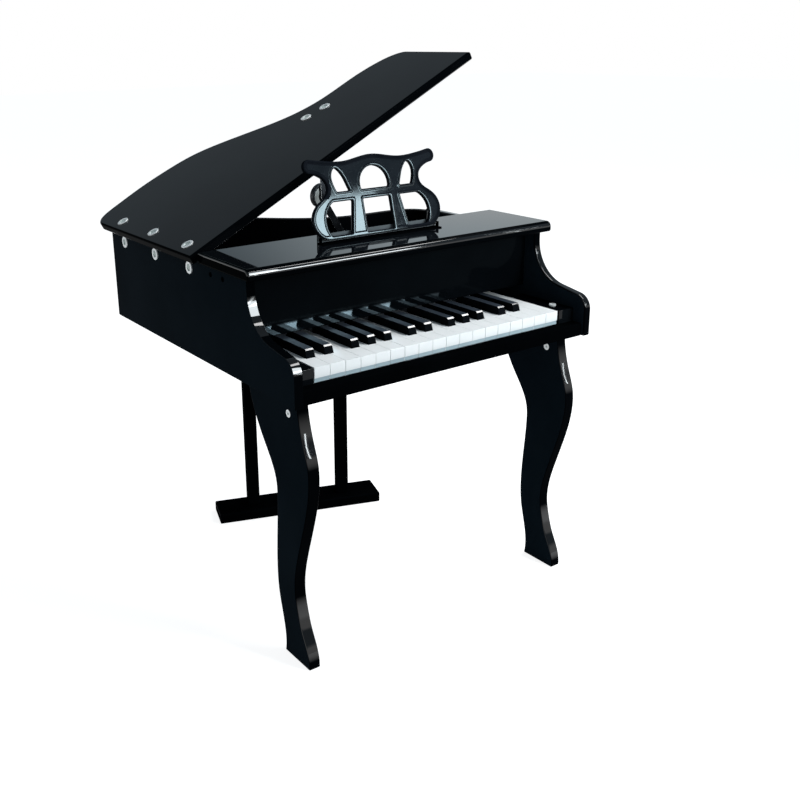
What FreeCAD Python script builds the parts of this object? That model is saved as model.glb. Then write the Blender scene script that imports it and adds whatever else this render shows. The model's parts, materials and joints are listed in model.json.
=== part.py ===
import FreeCAD, Part
import math
import os
import re

from FreeCAD import Placement, Rotation, Vector

# A child's baby grand piano, in millimetres: X across the keyboard, +Y to the tail, Z up from the floor.
# Y is kept as a setback behind the front face of the cheeks.

# Driving sizes: lengths in millimetres, angles in degrees
SIZES = {
    # case
    "case_width": 500,
    "case_depth": 549,
    "case_floor": 373,
    "panel_height": 137,
    "panel_thick": 12,
    "board_thick": 9,
    "rim_drop": 4,
    # cheeks
    "nose_height": 38,
    "nose_radius": 22,
    "arm_slope": 9,
    "sweep_land": 12.4,
    # shelf and fallboard
    "shelf_setback": 89,
    "shelf_nosing": 15.4,
    "shelf_depth": 131,
    "shelf_thick": 15,
    "shelf_overhang": 6,
    "shelf_nose_radius": 8,
    "shelf_round": 3,
    "fallboard_inset": 35,
    "fallboard_thick": 12,
    "fallboard_clearance": 3.5,
    # key slip and key blocks
    "slip_setback": 5,
    "slip_depth": 17,
    "slip_height": 19,
    "key_block_width": 29,
    "block_gap": 2,
    # keys
    "key_gap": 0.6,
    "key_setback": 23.2,
    "key_rise": 15,
    "key_thick": 14,
    "key_length": 279,
    "head_length": 34,
    "lip_thick": 4,
    "lip_setback": 1.2,
    "lip_drop": 5.6,
    "black_rise": 11,
    "black_left_shift": 3,
    "black_length": 92,
    "black_slope": 3,
    "black_taper": 0.9,
    "pivot_setback": 175,
    "pivot_radius": 2,
    "running_fit": 0.05,
    "hammer_radius": 3,
    "hammer_height": 42.3,
    "hammer_inset": 10,
    # rails and felts
    "rail_width": 20,
    "rail_clearance": 2,
    "rail_ear_thick": 4.5,
    "rail_ear_wall": 3,
    "rear_rail_width": 16,
    "felt_clearance": 0.3,
    "rear_felt_thick": 3.7,
    "front_felt_inset": 6.8,
    "front_felt_width": 15,
    "front_felt_thick": 5,
    # chimes
    "hammer_clearance": 12,
    "chime_block_depth": 16,
    "chime_block_height": 26,
    "chime_radius": 2,
    "chime_clearance": 6.7,
    # music rest
    "rest_inset": 71,
    "rest_left_shift": 4,
    "rest_lean": 28,
    "rest_half_width": 110.5,
    "rest_height": 109,
    "rest_thick": 7,
    "rest_rail": 4.5,
    "rest_rod_radius": 1.2,
    "rest_gap": 0.4,
    "rest_ear_inset": 11,
    "rest_ear_thick": 2,
    "rest_ear_wall": 1.2,
    "angle_thick": 1.6,
    "angle_front": 9,
    "stop_setback": 5.6,
    "stop_height": 6.5,
    # lid
    "lid_open_angle": 27.3,
    "lid_thick": 13,
    "lid_overhang": 12,
    "lid_side_overhang": 22,
    "lid_hinge_overhang": 10.5,
    "lid_gap": 2,
    "lid_lift": 2.4,
    "lid_round": 3,
    # hinges
    "hinge_front_inset": 36,
    "hinge_rear_inset": 47.7,
    "hinge_width": 26,
    "knuckle_width": 9.4,
    "knuckle_radius": 2.5,
    "knuckle_gap": 0.3,
    "hinge_pin_radius": 1.2,
    "leaf_thick": 1,
    "case_leaf_drop": 24,
    "lid_leaf_reach": 27.8,
    # connector bolts
    "bolt_head_radius": 8.5,
    "bolt_head_thick": 1.6,
    "bolt_radius": 3,
    "bolt_clearance": 0.2,
    "bolt_cap_radius": 6,
    "case_bolt_drop": 12.5,
    "lid_bolt_inset": 18,
    # lid stay
    "stay_attach_inset": 11,
    "stay_rim_gap": 28.2,
    "stay_attach_drop": 8,
    "stay_plate_length": 52,
    "stay_plate_width": 26,
    "stay_plate_thick": 1.5,
    "stay_bolt_half_spacing": 16.5,
    "stay_bolt_skew": 4,
    "stay_arm_width": 12,
    "stay_arm_thick": 2,
    "stay_arm_gap": 0.4,
    "stay_pin_radius": 2,
    "stay_elbow_inset": 43.3,
    "stay_elbow_rise": 37,
    "stay_disc_radius": 20,
    "stay_disc_thick": 9,
    "stay_foot_outset": 12,
    "stay_foot_drop": 51,
    "stay_foot_width": 26,
    "stay_foot_rise": 18,
    # stand
    "leg_depth": 147,
    "leg_thick": 16.8,
    "leg_inset": 19.2,
    "leg_bolt_setback": 48,
    "leg_nut_drop": 23,
    "leg_nut_radius": 5,
    "leg_bolt_radius": 3,
    "leg_bolt_head_radius": 5,
    "leg_bolt_head_thick": 2.5,
    "leg_bolt_end": 7,
    "trestle_x": 10.5,
    "trestle_rear_inset": 123.9,
    "trestle_angle": 18.6,
    "foot_length": 284,
    "foot_width": 56.5,
    "foot_height": 17.5,
    "post_half_spacing": 79.5,
    "post_width": 20,
    # cuts run past the faces that they open
    "overrun": 1,
}

# White and black keys from left to right, in groups that share equal tail slots
KEY_GROUPS = ("wbwbw", "wbwbwbw", "wbwbw", "wbwbwbw", "wbwbw", "w")
WHITE_COUNT = sum(group.count("w") for group in KEY_GROUPS)
# A rod fixed at one end sounds two octaves higher at half its length
HALVING_STEP_COUNT = 24
# Longest chime rod, as a share of the room between the chime block and the lid stay
CHIME_ROOM_SHARE = 1.29
HINGE_COUNT = 3

# Outline of the bent rim, from the right panel round the tail to the left panel:
# shares of half the case width and of the case depth. The lid stay stands at its waist.
WAIST_SHARES = (0.372, 0.749)
RIM_SHARES = (
    (1.0, 0.656),
    (0.95, 0.710),
    (0.808, 0.736),
    (0.608, 0.738),
    WAIST_SHARES,
    (0.096, 0.821),
    (-0.176, 0.936),
    (-0.412, 0.989),
    (-0.68, 1.0),
    (-0.9, 0.99),
    (-1.0, 0.95),
)

# Places worked out from the driving sizes
PLACES = {
    "half_width": "case_width / 2",
    "inner_half": "half_width - panel_thick",
    "front_y": "-(case_depth + lid_overhang) / 2",
    "panel_top": "case_floor + panel_height",
    "rim_top": "panel_top - rim_drop",
    "board_top": "case_floor + board_thick",
    "board_front": "front_y + slip_setback + slip_depth",
    "shelf_front": "front_y + shelf_setback",
    "shelf_rear": "shelf_front + shelf_depth",
    "shelf_top": "panel_top + shelf_thick",
    "shelf_half": "half_width + shelf_overhang",
    "fallboard_front": "shelf_front + fallboard_inset",
    "keyboard_half": "inner_half - key_block_width - block_gap",
    "key_pitch": f"keyboard_half * 2 / {WHITE_COUNT}",
    "key_front": "front_y + key_setback",
    "key_underside": "board_top + key_rise",
    "key_top": "key_underside + key_thick",
    "key_rear": "key_front + key_length",
    "head_rear": "key_front + head_length",
    "black_front": "head_rear + key_gap",
    "black_top": "key_top + black_rise",
    "pivot_y": "front_y + pivot_setback",
    "pivot_z": "key_underside + key_thick / 2",
    "hammer_y": "key_rear - hammer_inset",
    "hammer_top": "key_top + hammer_height",
    "ear_inner": "keyboard_half + block_gap + key_gap",
    "ear_outer": "ear_inner + rail_ear_thick",
    "rail_top": "key_underside - rail_clearance",
    "rear_rail_front": "hammer_y - rear_rail_width / 2 - block_gap",
    "rear_felt_top": "key_underside - felt_clearance",
    "chime_z": "hammer_top + chime_clearance + chime_radius",
    "chime_rear": "hammer_y - hammer_clearance",
    "chime_front": "chime_rear - chime_block_depth",
    "rest_y": "shelf_front + rest_inset",
    "rest_corner": "sqrt(pow(rest_rail / 2; 2) + pow(rest_thick / 2; 2))",
    "rest_ear_x": "rest_half_width - rest_ear_inset",
    "angle_top": "shelf_top + angle_thick",
    "rest_z": "angle_top + rest_gap + rest_corner",
    "lid_front": "shelf_rear + lid_gap",
    "lid_rear": "front_y + case_depth + lid_overhang",
    "lid_left": "-(half_width + lid_hinge_overhang)",
    "lid_right": "half_width + lid_side_overhang",
    "lid_underside": "panel_top + lid_lift",
    "lid_top": "lid_underside + lid_thick",
    "hinge_x": "-(half_width + knuckle_gap + knuckle_radius)",
    "hinge_z": "lid_underside - knuckle_gap - knuckle_radius",
    "left_rear": f"front_y + case_depth * {RIM_SHARES[-1][1]}",
    "right_rear": f"front_y + case_depth * {RIM_SHARES[0][1]}",
    "hinge_front": "lid_front + hinge_front_inset",
    "hinge_spacing": f"(left_rear - hinge_rear_inset - hinge_front) / {HINGE_COUNT - 1}",
    "stay_y": f"front_y + case_depth * {WAIST_SHARES[1]} - stay_rim_gap",
    "waist_x": f"half_width * {WAIST_SHARES[0]}",
    "stay_attach_x": "waist_x - stay_attach_inset",
    "stay_elbow_x": "waist_x - stay_elbow_inset",
    "stay_foot_x": "waist_x + stay_foot_outset",
    "stay_attach_z": "lid_underside - stay_attach_drop",
    "stay_elbow_height": "panel_top + stay_elbow_rise",
    "stay_foot_height": "panel_top - stay_foot_drop",
    "arm_front": "stay_y - stay_arm_thick",
    "disc_front": "stay_y + stay_arm_gap",
    "disc_rear": "disc_front + stay_disc_thick",
    "lower_arm_rear": "disc_rear + stay_arm_thick",
    "chime_length": f"(arm_front - chime_rear) * {CHIME_ROOM_SHARE}",
    "leg_outer": "half_width - leg_inset",
    "leg_middle": "leg_outer - leg_thick / 2",
    "leg_bolt_y": "front_y + leg_bolt_setback",
    "nut_z": "case_floor - leg_nut_drop",
    "trestle_y": "front_y + case_depth - trestle_rear_inset",
}

# Curved edge of the lid, from its right side round the tail to its hinge side:
# shares of the lid's width from the hinge side and of its depth from the shelf
LID_SHARES = (
    (1.0, 0.440),
    (0.976, 0.510),
    (0.918, 0.555),
    (0.855, 0.573),
    (0.707, 0.581),
    (0.627, 0.624),
    (0.559, 0.702),
    (0.435, 0.882),
    (0.362, 0.958),
    (0.272, 0.992),
    (0.174, 1.0),
    (0.086, 0.986),
    (0.014, 0.948),
    (0.0, 0.890),
)
# Edges of a front leg from the case down to the floor: shares of the leg's depth and height
LEG_FRONT_SHARES = (
    (0.187, 1.0),
    (0.167, 0.933),
    (0.113, 0.859),
    (0.045, 0.780),
    (0.036, 0.715),
    (0.068, 0.635),
    (0.151, 0.525),
    (0.235, 0.427),
    (0.303, 0.320),
    (0.306, 0.262),
    (0.276, 0.205),
    (0.220, 0.139),
    (0.163, 0.095),
    (0.102, 0.0),
)
LEG_REAR_SHARES = (
    (0.509, 0.0),
    (0.497, 0.050),
    (0.534, 0.140),
    (0.588, 0.227),
    (0.605, 0.325),
    (0.584, 0.467),
    (0.560, 0.600),
    (0.572, 0.665),
    (0.655, 0.733),
    (0.785, 0.803),
    (0.900, 0.880),
    (1.0, 1.0),
)
# Right half of the lyre: shares of its half width and of its height
REST_TOP_SHARES = ((0.0, 1.0), (0.39, 0.946), (0.71, 0.964), (0.92, 1.0))
REST_HORN_SHARE = (1.0, 0.905)
REST_SIDE_SHARES = (
    (0.945, 0.826),
    (0.79, 0.775),
    (0.713, 0.694),
    (0.717, 0.580),
    (0.854, 0.460),
    (0.947, 0.362),
    (0.982, 0.232),
    (0.947, 0.116),
    (0.76, 0.0),
)
# Openings of the lyre: straight sides as corners, bowed sides through a middle point
ARCH_SHARES = ((0.212, 0.576), (0.0, 0.854), (-0.212, 0.576))
LOWER_WINDOW_SHARES = ((0.208, 0.040), (0.208, 0.455), (-0.208, 0.455), (-0.208, 0.040))
LEAF_SHARES = (
    (0.575, 0.576),
    (0.618, 0.70),
    (0.610, 0.81),
    (0.560, 0.865),
    (0.490, 0.815),
    (0.428, 0.70),
    (0.380, 0.576),
)
SCROLL_OUTER_SHARES = ((0.735, 0.045), (0.790, 0.25), (0.650, 0.455))
SCROLL_INNER_SHARES = ((0.363, 0.455), (0.438, 0.045))

doc = FreeCAD.newDocument("toy_piano")
sheet = doc.addObject("Spreadsheet::Sheet", "Sizes")
nodes = []


def fill_sheet():
    cells = {alias: str(value) for alias, value in SIZES.items()}
    cells.update({alias: "=" + text for alias, text in PLACES.items()})
    for row, (alias, content) in enumerate(cells.items(), start=1):
        sheet.set(f"A{row}", alias)
        sheet.set(f"B{row}", content)
        sheet.setAlias(f"B{row}", alias)
    doc.recompute()


def size(alias):
    return float(sheet.get(alias))


def formula(text):
    """The text with every alias read from the sheet."""
    def from_sheet(word):
        alias = word.group(0)
        return f"Sizes.{alias}" if alias in SIZES or alias in PLACES else alias
    return re.sub(r"[a-z_]+", from_sheet, text)


def bind(item, target, text):
    item.setExpression(target, formula(text))


def node(label, item):
    """Names a finished sub-part."""
    item.Label = label
    nodes.append(item)
    return item


def block(name, x, y, z):
    """A box between two places on each axis."""
    item = doc.addObject("Part::Box", name)
    for axis, side, (low, high) in zip("xyz", ("Length", "Width", "Height"), (x, y, z)):
        bind(item, f"Placement.Base.{axis}", low)
        bind(item, side, f"({high}) - ({low})")
    return item


def bar(name, axis, radius, low, high, x="0", y="0", z="0"):
    """A round bar between two places along one axis, on a line given by the other two."""
    item = doc.addObject("Part::Cylinder", name)
    turns = {"x": Rotation(Vector(0, 1, 0), 90), "y": Rotation(Vector(1, 0, 0), -90), "z": Rotation()}
    item.Placement = Placement(Vector(), turns[axis])
    places = {"x": x, "y": y, "z": z}
    places[axis] = low
    for letter, text in places.items():
        bind(item, f"Placement.Base.{letter}", text)
    bind(item, "Radius", radius)
    bind(item, "Height", f"({high}) - ({low})")
    return item


def joined(name, items):
    item = doc.addObject("Part::MultiFuse", name)
    item.Shapes = items
    item.Refine = True
    return item


def group(name, items):
    """Separate solids in one sub-part."""
    item = doc.addObject("Part::Compound", name)
    item.Links = items
    return item


def cut(name, base, tools):
    item = doc.addObject("Part::Cut", name)
    item.Base = base
    item.Tool = tools[0] if len(tools) == 1 else group(f"{name}_tools", tools)
    return item


def plate(name, plane, outline, thickness, offset="0"):
    """A body padded from an outline on one of its origin planes."""
    body = doc.addObject("PartDesign::Body", name)
    sketch = body.newObject("Sketcher::SketchObject", f"{name}_outline")
    support = [item for item in body.Origin.OriginFeatures if item.Role == plane][0]
    sketch.AttachmentSupport = (support, [""])
    sketch.MapMode = "FlatFace"
    bind(sketch, "AttachmentOffset.Base.z", offset)
    for curve in outline:
        sketch.addGeometry(curve, False)
    pad = body.newObject("PartDesign::Pad", f"{name}_pad")
    pad.Profile = sketch
    bind(pad, "Length", thickness)
    return body


def round_edges(body, radius, wanted):
    """Rounds the edges of a body's tip that a test picks."""
    doc.recompute()
    base = body.Tip
    names = [f"Edge{i}" for i, edge in enumerate(base.Shape.Edges, start=1) if wanted(edge)]
    fillet = body.newObject("PartDesign::Fillet", f"{body.Name}_round")
    fillet.Base = (base, names)
    bind(fillet, "Radius", radius)


def point(first, second):
    return Vector(first, second, 0)


def polyline(points):
    return [Part.LineSegment(start, end) for start, end in zip(points, points[1:])]


def curve(points, start=None, end=None):
    """A smooth line through points, with its end directions where they are given."""
    spline = Part.BSplineCurve()
    if start is None:
        spline.interpolate(points)
    else:
        spline.interpolate(Points=points, InitialTangent=start, FinalTangent=end, Scale=False)
    return spline


def hole(centre, radius):
    return Part.Circle(centre, Vector(0, 0, 1), radius)


# Case outlines
def rim_points(inset):
    """Points of the rim's outline, moved inwards along its own normals."""
    half, depth, front = size("half_width"), size("case_depth"), size("front_y")
    points = [point(half * across, front + depth * back) for across, back in RIM_SHARES]
    outer = curve(points, Vector(0, 1, 0), Vector(0, -1, 0))
    moved = []
    for place in points:
        along = outer.tangent(outer.parameter(place))[0]
        moved.append(place - Vector(along.y, -along.x, 0) * inset)
    return moved


def rim_curve(inset):
    return curve(rim_points(inset), Vector(0, 1, 0), Vector(0, -1, 0))


def cheek_outline(rear):
    """Side panel: upright front, round nose, sloping arm, hollow sweep, flat top."""
    front, low, top = size("front_y"), size("case_floor"), size("panel_top")
    nose = size("nose_radius")
    slope = math.radians(size("arm_slope"))
    nose_centre = point(front + nose, low + size("nose_height"))

    def on_nose(turn):
        return nose_centre + point(-math.cos(turn), math.sin(turn)) * nose

    arm_front = on_nose(math.pi / 2 - slope)
    sweep_end = point(size("shelf_front") + size("shelf_nosing"), top - size("sweep_land"))
    rise = sweep_end.y - arm_front.y - (sweep_end.x - arm_front.x) * math.tan(slope)
    sweep = rise / (math.cos(slope) - (1 - math.sin(slope)) * math.tan(slope))
    sweep_centre = sweep_end - point(sweep, 0)

    def on_sweep(turn):
        return sweep_centre + point(math.sin(turn), -math.cos(turn)) * sweep

    upright = [sweep_end, point(sweep_end.x, top), point(rear, top)]
    foot = [point(rear, low), point(front, low), on_nose(0)]
    return [
        Part.ArcOfCircle(on_nose(0), on_nose((math.pi / 2 - slope) / 2), arm_front),
        Part.LineSegment(arm_front, on_sweep(slope)),
        Part.ArcOfCircle(on_sweep(slope), on_sweep((math.pi / 2 + slope) / 2), sweep_end),
    ] + polyline(upright + foot)


def interior_outline():
    """Inside of the case: between the panels, from the key slip to the rim."""
    inner = rim_curve(size("panel_thick"))
    half, front = size("inner_half"), size("board_front")
    return [inner] + polyline([inner.EndPoint, point(-half, front), point(half, front), inner.StartPoint])


def hinge_places():
    return [f"hinge_front + {index} * hinge_spacing" for index in range(HINGE_COUNT)]


def value(text):
    """The value of a sum of aliases."""
    return sheet.evalExpression(formula(text).replace("Sizes.", ""))


def make_case():
    bolt_hole = size("bolt_radius") + size("bolt_clearance")
    bolt_z = size("panel_top") - size("case_bolt_drop")
    bolt_holes = [hole(point(value(place), bolt_z), bolt_hole) for place in hinge_places()]
    left = cheek_outline(size("left_rear")) + bolt_holes
    right = cheek_outline(size("right_rear"))
    node("left_side_panel", plate("left_side_panel", "YZ_Plane", left, "panel_thick", "-half_width"))
    node("right_side_panel", plate("right_side_panel", "YZ_Plane", right, "panel_thick", "inner_half"))

    outer, inner = rim_curve(0), rim_curve(size("panel_thick"))
    rim_outline = [
        outer,
        Part.LineSegment(outer.EndPoint, inner.EndPoint),
        inner,
        Part.LineSegment(inner.StartPoint, outer.StartPoint),
    ]
    node("bent_rim", plate("bent_rim", "XY_Plane", rim_outline, "rim_top - case_floor", "case_floor"))

    leg_hole = size("leg_bolt_radius") + size("bolt_clearance")
    leg_holes = [hole(point(side * size("leg_middle"), size("leg_bolt_y")), leg_hole) for side in (-1, 1)]
    board_outline = interior_outline() + leg_holes
    node("bottom_board", plate("bottom_board", "XY_Plane", board_outline, "board_thick", "case_floor"))

    node("fallboard", block(
        "fallboard",
        ("-inner_half", "inner_half"),
        ("fallboard_front", "fallboard_front + fallboard_thick"),
        ("black_top + fallboard_clearance", "panel_top"),
    ))
    node("key_slip", block(
        "key_slip",
        ("-inner_half", "inner_half"),
        ("front_y + slip_setback", "board_front"),
        ("case_floor", "case_floor + slip_height"),
    ))


def make_shelf():
    half, front, rear = size("shelf_half"), size("shelf_front"), size("shelf_rear")
    corners = [point(-half, front), point(half, front), point(half, rear), point(-half, rear)]
    shelf = plate("top_shelf", "XY_Plane", polyline(corners + corners[:1]), "shelf_thick", "panel_top")
    low, nose = size("panel_top"), size("shelf_nose_radius")

    def ahead(edge):
        return edge.CenterOfMass.y < rear - nose

    def lengthwise(edge):
        return edge.BoundBox.XLength > half

    def above(edge):
        return edge.CenterOfMass.z > low + size("shelf_round")

    round_edges(shelf, "shelf_nose_radius", lambda edge: ahead(edge) and lengthwise(edge) and above(edge))
    round_edges(shelf, "shelf_round", lambda edge: ahead(edge) and not (lengthwise(edge) and above(edge)))
    node("top_shelf", shelf)


def make_key_blocks():
    blocks = []
    left = ("-inner_half", "-keyboard_half - block_gap")
    right = ("keyboard_half + block_gap", "inner_half")
    for name, side, ends in (("left", -1, left), ("right", 1, right)):
        solid = block(
            f"key_block_{name}",
            ends,
            ("board_front", "fallboard_front"),
            ("board_top", "key_top"),
        )
        bore = bar(
            f"key_block_{name}_bore",
            "z",
            "leg_bolt_radius + bolt_clearance",
            "board_top - overrun",
            "key_top + overrun",
            x=f"{side} * leg_middle",
            y="leg_bolt_y",
        )
        blocks.append(cut(f"key_block_{name}_bored", solid, [bore]))
    node("key_blocks", group("key_blocks", blocks))


def make_rails():
    balance = ("pivot_y - rail_width / 2", "pivot_y + rail_width / 2")
    ear = ("pivot_y - pivot_radius - rail_ear_wall", "pivot_y + pivot_radius + rail_ear_wall")
    ear_height = ("rail_top", "pivot_z + pivot_radius + rail_ear_wall")
    solids = [
        block("balance_rail", ("-ear_outer", "ear_outer"), balance, ("board_top", "rail_top")),
        block("balance_ear_left", ("-ear_outer", "-ear_inner"), ear, ear_height),
        block("balance_ear_right", ("ear_inner", "ear_outer"), ear, ear_height),
    ]
    bore = bar(
        "balance_bore",
        "x",
        "pivot_radius + running_fit",
        "-ear_outer - overrun",
        "ear_outer + overrun",
        y="pivot_y",
        z="pivot_z",
    )
    balance_rail = cut("balance_rail_bored", joined("balance_rail_eared", solids), [bore])
    keyboard = ("-keyboard_half", "keyboard_half")
    rear = ("rear_rail_front", "rear_rail_front + rear_rail_width")
    rear_rail = block("rear_rail", keyboard, rear, ("board_top", "rear_felt_top - rear_felt_thick"))
    node("key_rails", group("key_rails", [balance_rail, rear_rail]))
    node("key_pivot_rod", bar(
        "key_pivot_rod", "x", "pivot_radius", "-ear_outer", "ear_outer", y="pivot_y", z="pivot_z",
    ))
    front_felt = ("key_front + front_felt_inset", "key_front + front_felt_inset + front_felt_width")
    felts = [
        block("front_felt", keyboard, front_felt, ("board_top", "board_top + front_felt_thick")),
        block("rear_felt", keyboard, rear, ("rear_felt_top - rear_felt_thick", "rear_felt_top")),
    ]
    node("key_felts", group("key_felts", felts))


def key_slots():
    """Kind, head and tail limits of each key, from left to right."""
    whites = 0
    for slots in KEY_GROUPS:
        group_left = f"-keyboard_half + {whites} * key_pitch"
        slot_width = f"key_pitch * {slots.count('w')} / {len(slots)}"
        for index, kind in enumerate(slots):
            edges = [f"{group_left} + {index + side} * {slot_width}" for side in (0, 1)]
            if index > 0:
                edges[0] += " - black_left_shift"
            if index + 1 < len(slots):
                edges[1] += " - black_left_shift"
            head = tuple(f"-keyboard_half + {whites + side} * key_pitch" for side in (0, 1))
            yield kind, head, edges
            whites += kind == "w"


def trimmed(limits):
    """Limits across a key, less half a gap at each side."""
    return f"{limits[0]} + key_gap / 2", f"{limits[1]} - key_gap / 2"


def black_top_shape(name, across):
    """Raised part of a black key: sloping front, sides that draw in."""
    item = doc.addObject("Part::Wedge", name)
    item.Placement = Placement(Vector(), Rotation(Vector(1, 0, 0), 90))
    limits = {
        "Xmin": across[0],
        "Xmax": across[1],
        "X2min": f"{across[0]} + black_taper",
        "X2max": f"{across[1]} - black_taper",
        "Ymin": "key_top",
        "Ymax": "black_top",
        "Zmin": "-black_front - black_length",
        "Zmax": "-black_front",
        "Z2min": "-black_front - black_length",
        "Z2max": "-black_front - black_slope",
    }
    for target, text in limits.items():
        bind(item, target, text)
    return item


def make_keys():
    lever = ("key_underside", "key_top")
    for number, (kind, head, tail) in enumerate(key_slots(), start=1):
        name = f"key_{number:02d}"
        across = trimmed(tail)
        middle = f"({across[0]} + {across[1]}) / 2"
        hammer = bar(f"{name}_hammer", "z", "hammer_radius", "key_top", "hammer_top", x=middle, y="hammer_y")
        if kind == "w":
            full = trimmed(head)
            lip = ("key_underside - lip_drop", "key_underside")
            solids = [
                block(f"{name}_head", full, ("key_front", "head_rear"), lever),
                block(f"{name}_lip", full, ("key_front + lip_setback", "key_front + lip_thick"), lip),
                block(f"{name}_tail", across, ("head_rear", "key_rear"), lever),
            ]
        else:
            solids = [
                block(f"{name}_tail", across, ("black_front", "key_rear"), lever),
                black_top_shape(f"{name}_top", across),
            ]
        whole = joined(f"{name}_whole", solids + [hammer])
        bore = bar(
            f"{name}_bore",
            "x",
            "pivot_radius + running_fit",
            f"{across[0]} - overrun",
            f"{across[1]} + overrun",
            y="pivot_y",
            z="pivot_z",
        )
        node(name, cut(f"{name}_bored", whole, [bore]))


def make_chimes():
    node("chime_block", block(
        "chime_block",
        ("-inner_half", "inner_half"),
        ("chime_front", "chime_rear"),
        ("chime_z - chime_block_height / 2", "chime_z + chime_block_height / 2"),
    ))
    rods = []
    for step, (kind, head, tail) in enumerate(key_slots()):
        length_share = 0.5 ** (step / HALVING_STEP_COUNT)
        rods.append(bar(
            f"chime_rod_{step:02d}",
            "y",
            "chime_radius",
            "chime_rear",
            f"chime_rear + chime_length * {length_share:.4f}",
            x=f"({tail[0]} + {tail[1]}) / 2",
            z="chime_z",
        ))
    node("chime_rods", group("chime_rods", rods))


# Music rest
def rest_outline():
    half, height = size("rest_half_width"), size("rest_height")
    low = -size("rest_rail") / 2

    def place(share, side=1):
        return point(side * half * share[0], low + height * share[1])

    def places(shares, side=1):
        return [place(share, side) for share in shares]

    top = places(REST_TOP_SHARES[:0:-1], -1) + places(REST_TOP_SHARES)
    outline = [curve(top)]
    for side in (-1, 1):
        flank = places(REST_SIDE_SHARES, side)
        horn = place(REST_HORN_SHARE, side)
        outline.append(Part.ArcOfCircle(place(REST_TOP_SHARES[-1], side), horn, flank[0]))
        outline.append(curve(flank))
        leaf = places(LEAF_SHARES, side)
        outline += [curve(leaf), Part.LineSegment(leaf[-1], leaf[0])]
        scroll = places(SCROLL_OUTER_SHARES, side)
        outline.append(Part.ArcOfCircle(*scroll))
        outline += polyline([scroll[-1]] + places(SCROLL_INNER_SHARES, side) + [scroll[0]])
    outline.append(Part.LineSegment(place(REST_SIDE_SHARES[-1]), place(REST_SIDE_SHARES[-1], -1)))
    arch = places(ARCH_SHARES)
    outline += [Part.ArcOfCircle(*arch), Part.LineSegment(arch[-1], arch[0])]
    window = places(LOWER_WINDOW_SHARES)
    return outline + polyline(window + window[:1])


def make_music_rest():
    lyre = plate("lyre", "XZ_Plane", rest_outline(), "rest_thick", "-rest_thick / 2")
    bore = bar(
        "lyre_bore", "x", "rest_rod_radius + running_fit", "-rest_half_width", "rest_half_width",
    )
    rest = cut("music_rest", lyre, [bore])
    lean = math.degrees(math.asin(size("rest_lean") / size("rest_height")))
    rest.Placement = Placement(
        Vector(-size("rest_left_shift"), size("rest_y"), size("rest_z")),
        Rotation(Vector(1, 0, 0), -lean),
    )
    node("music_rest", rest)

    ear_left, ear_right = "-rest_left_shift - rest_ear_x", "rest_ear_x - rest_left_shift"
    ear_radius = "(rest_rod_radius + rest_ear_wall)"
    length = (f"{ear_left} - rest_ear_thick", f"{ear_right} + rest_ear_thick")
    stop = ("rest_y + stop_setback", "rest_y + stop_setback + angle_thick")
    ear = (f"rest_y - {ear_radius}", f"rest_y + {ear_radius}")
    ear_height = ("shelf_top", f"rest_z + {ear_radius}")
    solids = [
        block("rest_angle_foot", length, ("rest_y - angle_front", stop[1]), ("shelf_top", "angle_top")),
        block("rest_angle_stop", length, stop, ("shelf_top", "rest_z + stop_height")),
        block("rest_ear_left", (length[0], ear_left), ear, ear_height),
        block("rest_ear_right", (ear_right, length[1]), ear, ear_height),
    ]
    ear_bore = bar(
        "rest_ear_bore",
        "x",
        "rest_rod_radius + running_fit",
        "-rest_half_width",
        "rest_half_width",
        y="rest_y",
        z="rest_z",
    )
    node("music_rest_base", cut("music_rest_base", joined("rest_angle", solids), [ear_bore]))
    node("music_rest_rod", bar(
        "music_rest_rod", "x", "rest_rod_radius", length[0], length[1], y="rest_y", z="rest_z",
    ))


# Lid and hinges
def swung_open(item):
    """Turns a piece drawn with the lid shut to where it stands with the lid up."""
    hinge = Vector(size("hinge_x"), 0, size("hinge_z"))
    item.Placement = Placement(Vector(), Rotation(Vector(0, 1, 0), -size("lid_open_angle")), hinge)
    return item


def lid_bolt_places():
    """Bolts through the lid: one over each hinge and two over the stay's bracket."""
    places = [("lid_left + lid_bolt_inset", place) for place in hinge_places()]
    for side in (-1, 1):
        across = f"stay_attach_x + {side} * stay_bolt_half_spacing"
        places.append((across, f"stay_y - {side} * stay_bolt_skew"))
    return places


def lid_outline():
    left, right = size("lid_left"), size("lid_right")
    front, rear = size("lid_front"), size("lid_rear")
    points = [point(left + (right - left) * u, front + (rear - front) * v) for u, v in LID_SHARES]
    edge = curve(points, Vector(0, 1, 0), Vector(0, -1, 0))
    return [edge] + polyline([points[-1], point(left, front), point(right, front), points[0]])


def make_lid():
    outline = lid_outline()
    radius = size("bolt_radius") + size("bolt_clearance")
    outline += [hole(point(value(x), value(y)), radius) for x, y in lid_bolt_places()]
    lid = plate("lid", "XY_Plane", outline, "lid_thick", "lid_underside")
    flat, long = size("lid_round"), size("lid_gap") + size("bolt_head_radius") * math.tau
    round_edges(lid, "lid_round", lambda edge: edge.BoundBox.ZLength < flat and edge.Length > long)
    node("lid", swung_open(lid))


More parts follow.
